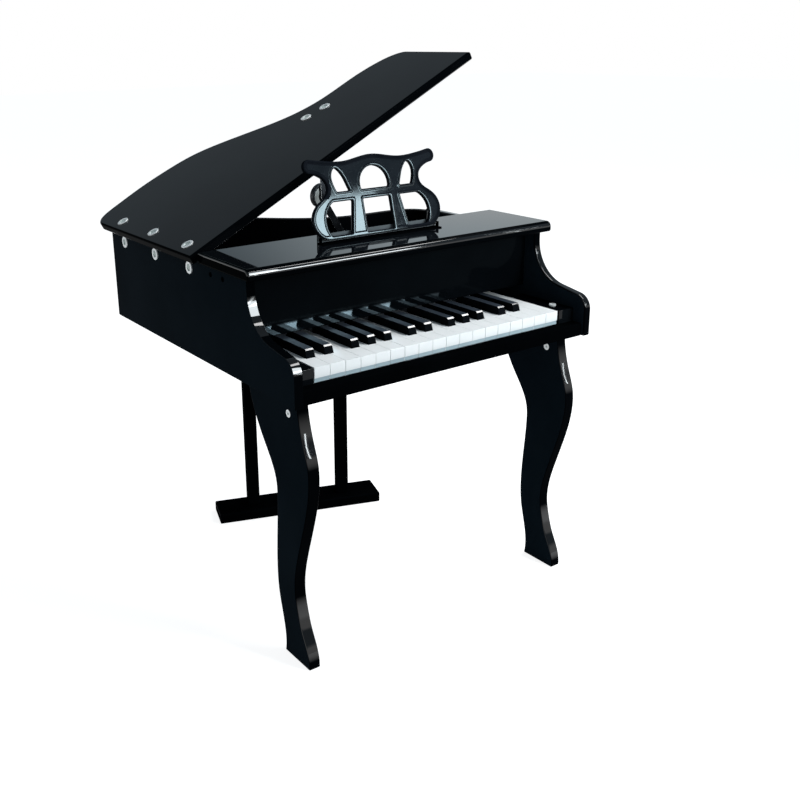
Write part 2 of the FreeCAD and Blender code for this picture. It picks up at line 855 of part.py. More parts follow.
def make_hinges():
    case_leaves, lid_leaves, pins = [], [], []
    on_axis = {"x": "hinge_x", "z": "hinge_z"}
    for index, place in enumerate(hinge_places(), start=1):
        ends = (f"{place} - hinge_width / 2", f"{place} + hinge_width / 2")
        inner = (f"{place} - knuckle_width / 2", f"{place} + knuckle_width / 2")
        outer = ((ends[0], f"{inner[0]} - knuckle_gap"), (f"{inner[1]} + knuckle_gap", ends[1]))
        knuckle_bore = bar(
            f"hinge_bore_{index}",
            "y",
            "hinge_pin_radius + running_fit",
            f"{ends[0]} - overrun",
            f"{ends[1]} + overrun",
            **on_axis,
        )
        case_solids = [
            block(
                f"case_leaf_top_{index}",
                ("-half_width", "-inner_half + leaf_thick"),
                ends,
                ("panel_top", "panel_top + leaf_thick"),
            ),
            block(
                f"case_leaf_drop_{index}",
                ("-inner_half", "-inner_half + leaf_thick"),
                ends,
                ("panel_top - case_leaf_drop", "panel_top + leaf_thick"),
            ),
        ]
        for side, span in enumerate(outer, start=1):
            web = (span, ("panel_top", "panel_top + leaf_thick"))
            case_solids.append(block(f"case_web_{index}_{side}", ("hinge_x", "-half_width"), *web))
            case_solids.append(bar(f"case_knuckle_{index}_{side}", "y", "knuckle_radius", *span, **on_axis))
        bolt_bore = bar(
            f"case_leaf_bore_{index}",
            "x",
            "bolt_radius + bolt_clearance",
            "-inner_half - overrun",
            "-inner_half + leaf_thick + overrun",
            y=place,
            z="panel_top - case_bolt_drop",
        )
        case_leaf = joined(f"case_leaf_{index}", case_solids)
        case_leaves.append(cut(f"case_leaf_bored_{index}", case_leaf, [knuckle_bore, bolt_bore]))

        leaf_height = ("lid_underside - leaf_thick", "lid_underside")
        lid_solids = [
            block(f"lid_leaf_plate_{index}", ("-half_width", "hinge_x + lid_leaf_reach"), ends, leaf_height),
            block(f"lid_web_{index}", ("hinge_x", "-half_width"), inner, leaf_height),
            bar(f"lid_knuckle_{index}", "y", "knuckle_radius", *inner, **on_axis),
        ]
        lid_bore = bar(
            f"lid_leaf_bore_{index}",
            "z",
            "bolt_radius + bolt_clearance",
            "lid_underside - leaf_thick - overrun",
            "lid_underside + overrun",
            x="lid_left + lid_bolt_inset",
            y=place,
        )
        lid_leaf = joined(f"lid_leaf_{index}", lid_solids)
        lid_leaves.append(cut(f"lid_leaf_bored_{index}", lid_leaf, [knuckle_bore, lid_bore]))
        pins.append(bar(f"hinge_pin_{index}", "y", "hinge_pin_radius", *ends, **on_axis))
    node("hinge_case_leaves", group("hinge_case_leaves", case_leaves))
    node("hinge_lid_leaves", swung_open(group("hinge_lid_leaves", lid_leaves)))
    node("hinge_pins", group("hinge_pins", pins))


def make_bolts():
    lid_bolts, case_bolts = [], []
    ends = ["lid_underside - leaf_thick"] * HINGE_COUNT + ["lid_underside - stay_plate_thick"] * 2
    for index, ((x, y), end) in enumerate(zip(lid_bolt_places(), ends), start=1):
        line = {"x": x, "y": y}
        head_top = "lid_top + bolt_head_thick"
        head = bar(f"lid_bolt_head_{index}", "z", "bolt_head_radius", "lid_top", head_top, **line)
        shank = bar(f"lid_bolt_shank_{index}", "z", "bolt_radius", end, "lid_top", **line)
        lid_bolts.append(joined(f"lid_bolt_{index}", [head, shank]))
    node("lid_bolts", swung_open(group("lid_bolts", lid_bolts)))
    for index, place in enumerate(hinge_places(), start=1):
        line = {"y": place, "z": "panel_top - case_bolt_drop"}
        inside = "-inner_half + leaf_thick"
        spans = (
            ("bolt_head_radius", "-half_width - bolt_head_thick", "-half_width"),
            ("bolt_radius", "-half_width", inside),
            ("bolt_cap_radius", inside, f"{inside} + bolt_head_thick"),
        )
        steps = [bar(f"case_bolt_{index}_{step}", "x", *span, **line) for step, span in enumerate(spans)]
        case_bolts.append(joined(f"case_bolt_{index}", steps))
    node("case_bolts", group("case_bolts", case_bolts))


# Lid stay
def stay_points():
    """Lid pivot with the lid up, elbow and foot pivot, in the stay's upright plane."""
    hinge = Vector(size("hinge_x"), 0, size("hinge_z"))
    shut = Vector(size("stay_attach_x"), 0, size("stay_attach_z"))
    attach = hinge + Rotation(Vector(0, 1, 0), -size("lid_open_angle")).multVec(shut - hinge)
    elbow = Vector(size("stay_elbow_x"), 0, size("stay_elbow_height"))
    foot = Vector(size("stay_foot_x"), 0, size("stay_foot_height"))
    return attach, elbow, foot


def stay_arm(name, start, end, depth):
    """A flat arm with round ends and a pivot hole at its start."""
    span = end - start
    half = "stay_arm_width / 2"
    solids = [
        block(f"{name}_strip", (f"-{half}", half), depth, ("0", f"{span.Length:.4f}")),
        bar(f"{name}_start", "y", half, *depth),
        bar(f"{name}_end", "y", half, *depth, z=f"{span.Length:.4f}"),
    ]
    through = (f"{depth[0]} - overrun", f"{depth[1]} + overrun")
    bore = bar(f"{name}_bore", "y", "stay_pin_radius + running_fit", *through)
    arm = cut(name, joined(f"{name}_whole", solids), [bore])
    turn = math.degrees(math.atan2(span.x, span.z))
    arm.Placement = Placement(start, Rotation(Vector(0, 1, 0), turn))
    return arm


def make_stay():
    attach, elbow, foot = stay_points()
    plate_x = ("stay_attach_x - stay_plate_length / 2", "stay_attach_x + stay_plate_length / 2")
    plate_y = ("stay_y - stay_plate_width / 2", "stay_y + stay_plate_width / 2")
    ear_x = ("stay_attach_x - stay_arm_width / 2", "stay_attach_x + stay_arm_width / 2")
    ear_y = ("disc_front", "disc_front + stay_arm_thick")
    line = {"x": "stay_attach_x", "z": "stay_attach_z"}
    solids = [
        block("stay_plate", plate_x, plate_y, ("lid_underside - stay_plate_thick", "lid_underside")),
        block("stay_ear", ear_x, ear_y, ("stay_attach_z", "lid_underside")),
        bar("stay_ear_end", "y", "stay_arm_width / 2", *ear_y, **line),
        bar("stay_lid_pin", "y", "stay_pin_radius", "arm_front", ear_y[1], **line),
    ]
    bores = []
    through = ("lid_underside - stay_plate_thick - overrun", "lid_underside + overrun")
    bore_radius = "bolt_radius + bolt_clearance"
    for index, (x, y) in enumerate(lid_bolt_places()[HINGE_COUNT:], start=1):
        bores.append(bar(f"stay_plate_bore_{index}", "z", bore_radius, *through, x=x, y=y))
    bracket = cut("stay_lid_bracket", joined("stay_lid_bracket_whole", solids), bores)
    node("stay_lid_bracket", swung_open(bracket))

    node("stay_upper_arm", stay_arm("stay_upper_arm", attach, elbow, ("arm_front", "stay_y")))
    node("stay_friction_disc", bar(
        "stay_friction_disc",
        "y",
        "stay_disc_radius",
        "disc_front",
        "disc_rear",
        x="stay_elbow_x",
        z="stay_elbow_height",
    ))
    node("stay_lower_arm", stay_arm("stay_lower_arm", foot, elbow, ("disc_rear", "lower_arm_rear")))

    interior = plate("case_interior", "XY_Plane", interior_outline(), "rim_top - case_floor", "case_floor")
    foot_front = "lower_arm_rear + stay_arm_gap"
    blank = block(
        "stay_foot_blank",
        ("stay_foot_x - stay_foot_width / 2", "stay_foot_x + stay_foot_width / 2"),
        (foot_front, f"{foot_front} + stay_rim_gap"),
        ("stay_foot_height - stay_foot_rise / 2", "stay_foot_height + stay_foot_rise / 2"),
    )
    fitted = doc.addObject("Part::Common", "stay_foot_fitted")
    fitted.Base = blank
    fitted.Tool = interior
    pin = bar(
        "stay_foot_pin",
        "y",
        "stay_pin_radius",
        "disc_rear",
        foot_front,
        x="stay_foot_x",
        z="stay_foot_height",
    )
    node("stay_case_bracket", joined("stay_case_bracket", [fitted, pin]))


# Stand
def leg_outline():
    front, depth, height = size("front_y"), size("leg_depth"), size("case_floor")

    def edge(shares):
        return [point(front + depth * back, height * up) for back, up in shares]

    front_edge, rear_edge = edge(LEG_FRONT_SHARES), edge(LEG_REAR_SHARES)
    return [
        curve(front_edge),
        Part.LineSegment(front_edge[-1], rear_edge[0]),
        curve(rear_edge),
        Part.LineSegment(rear_edge[-1], front_edge[0]),
        hole(point(size("leg_bolt_y"), size("nut_z")), size("leg_nut_radius") + size("running_fit")),
    ]


def make_legs():
    legs, bolts = [], []
    for name, side in (("left", -1), ("right", 1)):
        middle = f"{side} * leg_middle"
        line = {"x": middle, "y": "leg_bolt_y"}
        solid = plate(f"leg_{name}", "YZ_Plane", leg_outline(), "leg_thick", f"{middle} - leg_thick / 2")
        bore = bar(
            f"leg_{name}_bore",
            "z",
            "leg_bolt_radius + bolt_clearance",
            "nut_z - leg_bolt_end - overrun",
            "case_floor + overrun",
            **line,
        )
        legs.append(cut(f"leg_{name}_bored", solid, [bore]))
        head_top, end = "key_top + leg_bolt_head_thick", "nut_z - leg_bolt_end"
        head = bar(f"leg_bolt_head_{name}", "z", "leg_bolt_head_radius", "key_top", head_top, **line)
        shank = bar(f"leg_bolt_shank_{name}", "z", "leg_bolt_radius", end, "key_top", **line)
        bolts.append(joined(f"leg_bolt_{name}", [head, shank]))
        nut = bar(
            f"leg_nut_{name}",
            "x",
            "leg_nut_radius",
            f"{middle} - leg_thick / 2",
            f"{middle} + leg_thick / 2",
            y="leg_bolt_y",
            z="nut_z",
        )
        nut_bore = bar(
            f"leg_nut_bore_{name}",
            "z",
            "leg_bolt_radius + running_fit",
            "nut_z - leg_nut_radius - overrun",
            "nut_z + leg_nut_radius + overrun",
            **line,
        )
        bolts.append(cut(f"leg_nut_bored_{name}", nut, [nut_bore]))
    node("front_legs", group("front_legs", legs))
    node("leg_bolts", group("leg_bolts", bolts))


def make_trestle():
    foot = block(
        "trestle_foot",
        ("-foot_length / 2", "foot_length / 2"),
        ("-foot_width / 2", "foot_width / 2"),
        ("0", "foot_height"),
    )
    solids = [foot]
    for name, side in (("left", -1), ("right", 1)):
        middle = f"{side} * post_half_spacing"
        solids.append(block(
            f"trestle_post_{name}",
            (f"{middle} - post_width / 2", f"{middle} + post_width / 2"),
            ("-post_width / 2", "post_width / 2"),
            ("foot_height", "case_floor"),
        ))
    trestle = group("rear_trestle", solids)
    trestle.Placement = Placement(
        Vector(size("trestle_x"), size("trestle_y"), 0),
        Rotation(Vector(0, 0, 1), -size("trestle_angle")),
    )
    node("rear_trestle", trestle)


def check_document():
    doc.recompute()
    for item in doc.Objects:
        if "Invalid" in item.State or "Error" in item.State:
            raise RuntimeError(f"{item.Label} did not build")
    for item in nodes:
        if item.Shape.isNull() or not item.Shape.isValid() or not item.Shape.Solids:
            raise RuntimeError(f"{item.Label} has no sound shape")


def write_parts():
    os.makedirs("parts", exist_ok=True)
    for item in nodes:
        item.Shape.exportStep(os.path.join("parts", f"{item.Label}.step"))


fill_sheet()
make_case()
make_shelf()
make_key_blocks()
make_rails()
make_keys()
make_chimes()
make_music_rest()
make_lid()
make_hinges()
make_bolts()
make_stay()
make_legs()
make_trestle()
check_document()
write_parts()
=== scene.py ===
import json
import math

import bmesh
import bpy
import numpy as np
from mathutils import Matrix, Vector
from mathutils.geometry import tessellate_polygon


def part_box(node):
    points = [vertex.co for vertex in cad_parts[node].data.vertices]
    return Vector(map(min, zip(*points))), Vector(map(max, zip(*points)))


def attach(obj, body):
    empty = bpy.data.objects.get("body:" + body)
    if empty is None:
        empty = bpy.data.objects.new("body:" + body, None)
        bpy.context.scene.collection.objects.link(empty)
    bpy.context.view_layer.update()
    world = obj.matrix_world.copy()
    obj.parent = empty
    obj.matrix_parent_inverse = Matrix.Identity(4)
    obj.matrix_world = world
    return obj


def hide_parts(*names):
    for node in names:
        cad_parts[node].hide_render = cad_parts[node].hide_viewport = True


# Looks of a child's baby grand piano, in metres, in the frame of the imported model

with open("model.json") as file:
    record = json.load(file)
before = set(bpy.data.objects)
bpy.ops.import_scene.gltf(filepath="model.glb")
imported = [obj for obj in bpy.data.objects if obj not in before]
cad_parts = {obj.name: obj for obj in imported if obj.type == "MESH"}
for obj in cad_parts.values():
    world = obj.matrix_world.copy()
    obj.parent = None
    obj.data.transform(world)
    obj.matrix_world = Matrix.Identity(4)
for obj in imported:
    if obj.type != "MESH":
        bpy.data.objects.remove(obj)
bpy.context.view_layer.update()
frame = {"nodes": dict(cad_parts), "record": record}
nodes = frame["nodes"]
record = frame["record"]
body_of = {name: body for body, members in record["behaviour"]["bodies"].items() for name in members}
slot_of = {part["node"]: part["material_slot"] for part in record["subparts"]}
keys = sorted(name for name in nodes if name.startswith("key_") and name[4:].isdigit())
scene = bpy.context.scene

X_AXIS, Y_AXIS, Z_AXIS = Vector((1, 0, 0)), Vector((0, 1, 0)), Vector((0, 0, 1))
LID_ANGLE = math.radians(27.3)
LID_UP = Vector((-math.sin(LID_ANGLE), 0, math.cos(LID_ANGLE)))
FACING, LEANING = 0.98, 0.9  # share of a direction in the normal of a face that looks or leans that way


# Materials
RAMP_SPAN = 0.3, 0.7  # part of a noise's range in which the shade changes


class Nodes:
    """A material's node tree, built one node at a time."""

    def __init__(self, name):
        self.material = bpy.data.materials.new(name)
        self.material.use_nodes = True
        self.tree = self.material.node_tree
        self.shader = self.tree.nodes["Principled BSDF"]
        self.place = self.add("ShaderNodeTexCoord").outputs["Object"]

    def add(self, kind, **settings):
        node = self.tree.nodes.new(kind)
        for key, value in settings.items():
            setattr(node, key, value)
        return node

    def link(self, source, target):
        self.tree.links.new(source, target)

    def feed(self, socket, source):
        self.link(source, self.shader.inputs[socket])

    def set(self, **values):
        for name, value in values.items():
            self.shader.inputs[name.replace("_", " ")].default_value = value

    def noise(self, scale, detail, stretch=(1, 1, 1), roughness=0.55):
        mapping = self.add("ShaderNodeMapping")
        mapping.inputs["Scale"].default_value = stretch
        self.link(self.place, mapping.inputs["Vector"])
        noise = self.add("ShaderNodeTexNoise")
        noise.inputs["Scale"].default_value = scale
        noise.inputs["Detail"].default_value = detail
        noise.inputs["Roughness"].default_value = roughness
        self.link(mapping.outputs["Vector"], noise.inputs["Vector"])
        return noise.outputs["Fac"]

    def ramp(self, source, low, high):
        """Runs a value through a colour ramp between two colours or two greys."""
        ramp = self.add("ShaderNodeValToRGB")
        for element, place, shade in zip(ramp.color_ramp.elements, RAMP_SPAN, (low, high)):
            element.position = place
            element.color = (*shade, 1) if hasattr(shade, "__len__") else (shade, shade, shade, 1)
        self.link(source, ramp.inputs["Fac"])
        return ramp.outputs["Color"]

    def bump(self, source, height, strength):
        bump = self.add("ShaderNodeBump")
        bump.inputs["Strength"].default_value = strength
        bump.inputs["Distance"].default_value = height
        self.link(source, bump.inputs["Height"])
        self.feed("Normal", bump.outputs["Normal"])

    def split(self, source):
        split = self.add("ShaderNodeSeparateXYZ")
        self.link(source, split.inputs[0])
        return split.outputs

    def fade(self, source, start, end, before, after):
        """Eases a value from one level to another."""
        fade = self.add("ShaderNodeMapRange", interpolation_type="SMOOTHSTEP")
        for socket, value in zip(("From Min", "From Max", "To Min", "To Max"), (start, end, before, after)):
            fade.inputs[socket].default_value = value
        self.link(source, fade.inputs["Value"])
        return fade.outputs["Result"]

    def math(self, operation, *values):
        """Works on numbers and on the outputs of other nodes."""
        node = self.add("ShaderNodeMath", operation=operation)
        for socket, value in zip(node.inputs, values):
            if isinstance(value, bpy.types.NodeSocket):
                self.link(value, socket)
            else:
                socket.default_value = value
        return node.outputs[0]


FINE_GRAIN = 0.00001  # height of the finest bumps
BLACK = (0.0018, 0.0026, 0.0036), (0.004, 0.0052, 0.0066)
DEEP_BLACK = (0.0006, 0.001, 0.0014), (0.0012, 0.0018, 0.0026)
BOARD_BLACK = (0.001, 0.0016, 0.0022), (0.002, 0.003, 0.004)
DULL_BLACK = (0.0005, 0.0007, 0.001), (0.001, 0.0014, 0.0018)
# painted sheen: the broad sides of the boards and legs are a lighter navy black than their fronts
SIDE_SHEEN_NAVY = (0.0042, 0.0087, 0.0129), (0.007, 0.0126, 0.018)
SATIN_GREY = (0.085, 0.1, 0.11), (0.11, 0.13, 0.14)
POLISHED, CLEAR, SMOOTH, SATIN = (0.015, 0.05), (0.03, 0.06), (0.05, 0.1), (0.3, 0.4)
PEEL, EVEN = 0.12, 0.02  # orange peel of most coats, and of those that mirror thin lamps
BAND_GLOSS, BOARD_GLOSS = 0.8125, 0.0094  # added in the polished band, and all over the fallboard


def lacquer_nodes(name, shades, gloss, peel):
    """Black coat: faint cloudiness, fine orange peel, a little uneven gloss."""
    m = Nodes(name)
    m.feed("Base Color", m.ramp(m.noise(scale=9, detail=3), *shades))
    m.feed("Roughness", m.ramp(m.noise(scale=38, detail=5), *gloss))
    m.bump(m.noise(scale=420, detail=2), FINE_GRAIN, strength=peel)
    return m


def lacquer(name, specular, shades=BLACK, gloss=POLISHED, peel=PEEL):
    m = lacquer_nodes(name, shades, gloss, peel)
    m.set(Specular_IOR_Level=specular)
    return m.material


def front_lacquer(name):
    """Front edges of the side boards and legs: polished where they lean back, dull where they stand or overhang."""
    m = lacquer_nodes(name, DEEP_BLACK, POLISHED, peel=EVEN)
    lean = m.split(m.add("ShaderNodeTexCoord").outputs["Normal"])["Z"]
    m.feed("Specular IOR Level", m.fade(lean, start=0.14, end=0.3, before=0.001, after=0.5))
    return m.material


def fallboard_lacquer(name):
    """The board behind the keys: a polished band just over them, dying away upward and to the right."""
    m = lacquer_nodes(name, BOARD_BLACK, CLEAR, PEEL)
    place = m.split(m.place)
    upward = m.fade(place["Z"], start=0.437, end=0.4405, before=1, after=0)
    rightward = m.fade(place["X"], start=0.03, end=0.1, before=1, after=0)
    band = m.math("MULTIPLY", upward, rightward)
    m.feed("Specular IOR Level", m.math("MULTIPLY_ADD", band, BAND_GLOSS, BOARD_GLOSS))
    m.set(Specular_Tint=(0.62, 0.86, 1, 1))
    return m.material


def key_plastic(name, dark, light, specular, gloss=(0.16, 0.24)):
    m = Nodes(name)
    m.feed("Base Color", m.ramp(m.noise(scale=24, detail=4), dark, light))
    m.feed("Roughness", m.ramp(m.noise(scale=60, detail=4), *gloss))
    m.bump(m.noise(scale=700, detail=2), FINE_GRAIN, strength=0.3)
    m.set(Specular_IOR_Level=specular)
    return m.material


def moulded_plastic(name, specular):
    m = Nodes(name)
    m.feed("Base Color", m.ramp(m.noise(scale=30, detail=4), (0.0045, 0.006, 0.0085), (0.0085, 0.0105, 0.014)))
    m.feed("Roughness", m.ramp(m.noise(scale=45, detail=4), 0.04, 0.09))
    m.bump(m.noise(scale=120, detail=2), height=0.00003, strength=0.3)
    m.set(Specular_IOR_Level=specular, Specular_Tint=(0.74, 0.93, 1, 1))
    return m.material


def metal(name, dark, light, rough, metallic=1.0):
    m = Nodes(name)
    m.feed("Base Color", m.ramp(m.noise(scale=70, detail=5), dark, light))
    m.feed("Roughness", m.ramp(m.noise(scale=90, detail=3), *rough))
    m.bump(m.noise(scale=300, detail=2), FINE_GRAIN, strength=0.2)
    m.set(Metallic=metallic)
    return m.material


def wood(name):
    m = Nodes(name)
    grain = m.noise(scale=30, detail=8, stretch=(1, 14, 14), roughness=0.6)
    m.feed("Base Color", m.ramp(grain, (0.33, 0.205, 0.11), (0.52, 0.36, 0.21)))
    m.feed("Roughness", m.ramp(grain, 0.62, 0.5))
    m.bump(grain, height=0.0002, strength=0.4)
    return m.material


def felt(name):
    m = Nodes(name)
    m.feed("Base Color", m.ramp(m.noise(scale=900, detail=6), (0.012, 0.013, 0.015), (0.035, 0.037, 0.04)))
    m.bump(m.noise(scale=1400, detail=6), height=0.0006, strength=0.9)
    m.set(Roughness=0.95, Sheen_Weight=0.4, Specular_IOR_Level=0.1)
    return m.material


FINISH = {
    "black_lacquer": lacquer("black_lacquer", specular=0.115),
    "plain_wood": wood("plain_wood"),
    "white_key": key_plastic("white_key", (0.85, 0.875, 0.88), (0.89, 0.91, 0.915), specular=0.45),
    "black_key": key_plastic("black_key", (0.002, 0.0026, 0.0034), (0.004, 0.0048, 0.006), specular=0.0),
    "rest_plastic": moulded_plastic("rest_plastic", specular=0.33),
    "black_metal": lacquer("black_metal", specular=0.05, gloss=(0.2, 0.35)),
    "steel": metal("steel", (0.8, 0.84, 0.85), (0.92, 0.94, 0.94), rough=(0.34, 0.46), metallic=0.4),
    "stay_steel": metal("stay_steel", (0.012, 0.014, 0.016), (0.026, 0.029, 0.033), rough=(0.22, 0.32)),
    "iron": metal("iron", (0.06, 0.06, 0.063), (0.14, 0.14, 0.147), rough=(0.5, 0.7), metallic=0.4),
    "felt": felt("felt"),
}
COATS = [
    FINISH["black_lacquer"],
    lacquer("board_lacquer", specular=0.001, shades=DEEP_BLACK, gloss=SMOOTH),
    lacquer("edge_lacquer", specular=0.54, peel=EVEN),
    fallboard_lacquer("fallboard_lacquer"),
    lacquer("dull_lacquer", specular=0.0, shades=DULL_BLACK, gloss=SATIN),
    lacquer("side_sheen_lacquer", specular=0.001, shades=SIDE_SHEEN_NAVY, gloss=SMOOTH),
    front_lacquer("front_lacquer"),
]
TOP, BOARD, EDGE, MIRROR, DULL, SIDE, FRONT = range(7)
STOP_COAT = lacquer("stop_lacquer", specular=0.1, shades=SATIN_GREY, gloss=SATIN)
# painted highlight: pale, nearly non-metallic steel for the bevelled edges of the stay
STEEL_EDGE_HIGHLIGHT = metal("steel_edge_highlight", (0.76, 0.79, 0.8), (0.88, 0.9, 0.9), rough=(0.3, 0.4), metallic=0.1)
DISC_STEEL = metal("disc_steel", (0.16, 0.175, 0.175), (0.26, 0.28, 0.275), rough=(0.3, 0.42))
# painted shade: darker, greenish grey for the floor and walls of the bolt sockets
SOCKET_SHADE_STEEL = metal("socket_shade_steel", (0.5, 0.57, 0.55), (0.62, 0.69, 0.66), rough=(0.4, 0.55), metallic=0.3)
# painted shade: the recessed front below a white key's step
KEY_SKIRT_SHADE = key_plastic("key_skirt_shade", (0.38, 0.5, 0.55), (0.46, 0.58, 0.63), specular=0.3)
# painted sheen: black-key tops are a lighter bluish grey than the rest of the key
KEY_TOP_SHEEN = key_plastic("key_top", (0.026, 0.034, 0.046), (0.036, 0.045, 0.058), specular=0.05, gloss=SATIN)
KEY_EDGE = key_plastic("key_edge", (0.01, 0.012, 0.014), (0.02, 0.022, 0.025), specular=1.0, gloss=(0.12, 0.18))

# Pieces that stand for the solids, with the edges softened
SHARP_ANGLE = math.radians(32)
FLAT_ANGLE = math.radians(0.4)
WELD_GAP = 0.00001
LONG_CHAIN = 0.3  # edges that run on for more than this aren't the rim of a bore


def flattened(mesh):
    """Joins the triangles of each flat face."""
    bmesh.ops.dissolve_limit(mesh, angle_limit=FLAT_ANGLE, verts=mesh.verts, edges=mesh.edges)
    mesh.normal_update()


def welded(node):
    """Points and faces of a node, its flat faces whole again."""
    mesh = bmesh.new()
    mesh.from_mesh(nodes[node].data)
    bmesh.ops.remove_doubles(mesh, verts=mesh.verts, dist=WELD_GAP)
    flattened(mesh)
    return mesh


def listed(name, data, body):
    """A new object that rides on a body."""
    data.polygons.foreach_set("use_smooth", [True] * len(data.polygons))
    item = bpy.data.objects.new(name, data)
    scene.collection.objects.link(item)
    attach(item, body)
    return item


def piece(name, mesh, body, finishes):
    """A new object from a mesh in the making."""
    data = bpy.data.meshes.new(name)
    mesh.verts.index_update()
    points = [vert.co[:] for vert in mesh.verts]
    faces = [[vert.index for vert in face.verts] for face in mesh.faces]
    kinds = [face.material_index for face in mesh.faces]
    data.from_pydata(points, [], faces)
    mesh.free()
    for finish in finishes:
        data.materials.append(finish)
    data.polygons.foreach_set("material_index", kinds)
    return listed(name, data, body)


def rounded(item, width, segments, edge_finish):
    bevel = item.modifiers.new("edges", "BEVEL")
    bevel.width = width
    bevel.segments = segments
    bevel.limit_method = "ANGLE"
    bevel.angle_limit = SHARP_ANGLE
    bevel.harden_normals = True
    bevel.miter_outer = "MITER_ARC"
    bevel.material = edge_finish
    weighted = item.modifiers.new("normals", "WEIGHTED_NORMAL")
    weighted.weight = 80


def soften(mesh, width):
    """Rounds the long sharp edges first, since the rims of bores would hold the rounding back."""
    sharp = [edge for edge in mesh.edges if edge.calc_face_angle(0) > SHARP_ANGLE]
    waiting = set(sharp)
    long_edges = []
    for start in sharp:
        if start not in waiting:
            continue
        waiting.remove(start)
        chain = [start]
        for edge in chain:  # the chain grows as it is followed
            for other in (*edge.verts[0].link_edges, *edge.verts[1].link_edges):
                if other in waiting:
                    waiting.remove(other)
                    chain.append(other)
        if sum(edge.calc_length() for edge in chain) > LONG_CHAIN:
            long_edges += chain
    bmesh.ops.bevel(
        mesh,
        geom=long_edges,
        offset=width,
        offset_type="OFFSET",
        segments=4,
        profile=0.5,
        affect="EDGES",
    )
    mesh.normal_update()


def dressed(node, mesh, width, segments=3, finishes=None, edge_finish=-1):
    slot = slot_of[node]
    item = piece(f"{node}_dressed", mesh, body_of[node], finishes or [FINISH[slot]])
    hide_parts(node)
    rounded(item, width, segments, edge_finish)


def coated(node, width, choose, edge_finish):
    """A lacquered board: each face gets the coat that its direction asks for; broad side faces get a lighter navy
    black, a painted sheen.
    """
    mesh = welded(node)
    for face in mesh.faces:
        face.material_index = choose(face.normal)
    dressed(node, mesh, width, segments=4, finishes=COATS, edge_finish=edge_finish)


# Lacquered boards
SHELF_ROUND = 0.06, 0.6  # rise of the normals on the polished part of the shelf's front
LID_FLAT, LID_UNDERCUT = 0.95, -0.3


# Broad side faces take the lighter navy black: a painted sheen on the same lacquer as the fronts.
def side_board(normal):
    return SIDE if abs(normal.x) > LEANING else FRONT


def shelf_board(normal):
    if normal.z > FACING:
        return TOP
    return EDGE if SHELF_ROUND[0] < normal.z < SHELF_ROUND[1] else BOARD


def lid_board(normal):
    up = normal.dot(LID_UP)
    if up > LID_FLAT:
        return TOP
    return EDGE if -LID_FLAT < up < LID_UNDERCUT else BOARD


def block_board(normal):
    return TOP if normal.y < -FACING else BOARD


def mirror_board(normal):
    return MIRROR if normal.y < -FACING else BOARD


def plain_board(normal):
    return BOARD


def dull_board(normal):
    return DULL


BOARDS = {  # width of the round edges, coat of each face, coat of the edges
    "left_side_panel": (0.0022, side_board, FRONT),
    "right_side_panel": (0.0022, side_board, FRONT),
    "fallboard": (0.001, mirror_board, BOARD),
    "key_slip": (0.0016, dull_board, DULL),
    "top_shelf": (0.0008, shelf_board, BOARD),
    "lid": (0.0006, lid_board, EDGE),
    "bent_rim": (0.0016, plain_board, BOARD),
    "key_blocks": (0.0012, block_board, EDGE),
    "bottom_board": (0.0006, plain_board, BOARD),
    "rear_trestle": (0.0022, dull_board, BOARD),
}
for node, looks in BOARDS.items():
    coated(node, *looks)


def dressed_rest_base(node):
    """The stop behind the rest has a paler, satin front."""
    mesh = welded(node)
    fronts = [face for face in mesh.faces if face.normal.y < -FACING]
    max(fronts, key=lambda face: face.calc_center_median().y).material_index = 1
    dressed(node, mesh, width=0.0005, segments=4, finishes=[COATS[DULL], STOP_COAT])


dressed_rest_base("music_rest_base")


# Plates cut from a board: the loops of one flat side, and the block that they bound
PLATE_SHARE = 0.2  # a leg's flat side has at least this share of the largest one's area
SAME_PLANE = 0.0001
LEG_FACING, REST_FACING = 0.99, 0.999  # as FACING, for the flat sides of the legs and the rest


def side_loops(plate, level, rise):
    """Outline and openings of a flat side, along two axes of its plane."""
    inside = set(plate)
    rims = {}
    for face in plate:
        for loop in face.loops:
            if not all(other in inside for other in loop.edge.link_faces):
                rims[loop.vert] = loop.link_loop_next.vert
    loops = []
    while rims:
        vert = next(iter(rims))
        ring = []
        while vert in rims:
            ring.append((vert.co.dot(level), vert.co.dot(rise)))
            vert = rims.pop(vert)
        loops.append(ring)
    return loops


def plate_block(mesh, loops, near, far, axes):
    """Adds the block that the loops bound between two planes."""
    rings = [[Vector((*place, 0)) for place in ring] for ring in loops]
    flat = [place for ring in loops for place in ring]
    count = len(flat)
    points = [(*place, near) for place in flat] + [(*place, far) for place in flat]
    faces = [tuple(corners) for corners in tessellate_polygon(rings)]
    faces += [tuple(corner + count for corner in corners) for corners in faces]
    first = 0
    for ring in loops:
        for step in range(len(ring)):
            one, two = first + step, first + (step + 1) % len(ring)
            faces.append((one, two, two + count, one + count))
        first += len(ring)
    verts = []
    for point in points:
        verts.append(mesh.verts.new(sum((axis * share for axis, share in zip(axes, point)), Vector())))
    for face in faces:
        mesh.faces.new([verts[corner] for corner in face])
    bmesh.ops.recalc_face_normals(mesh, faces=mesh.faces)


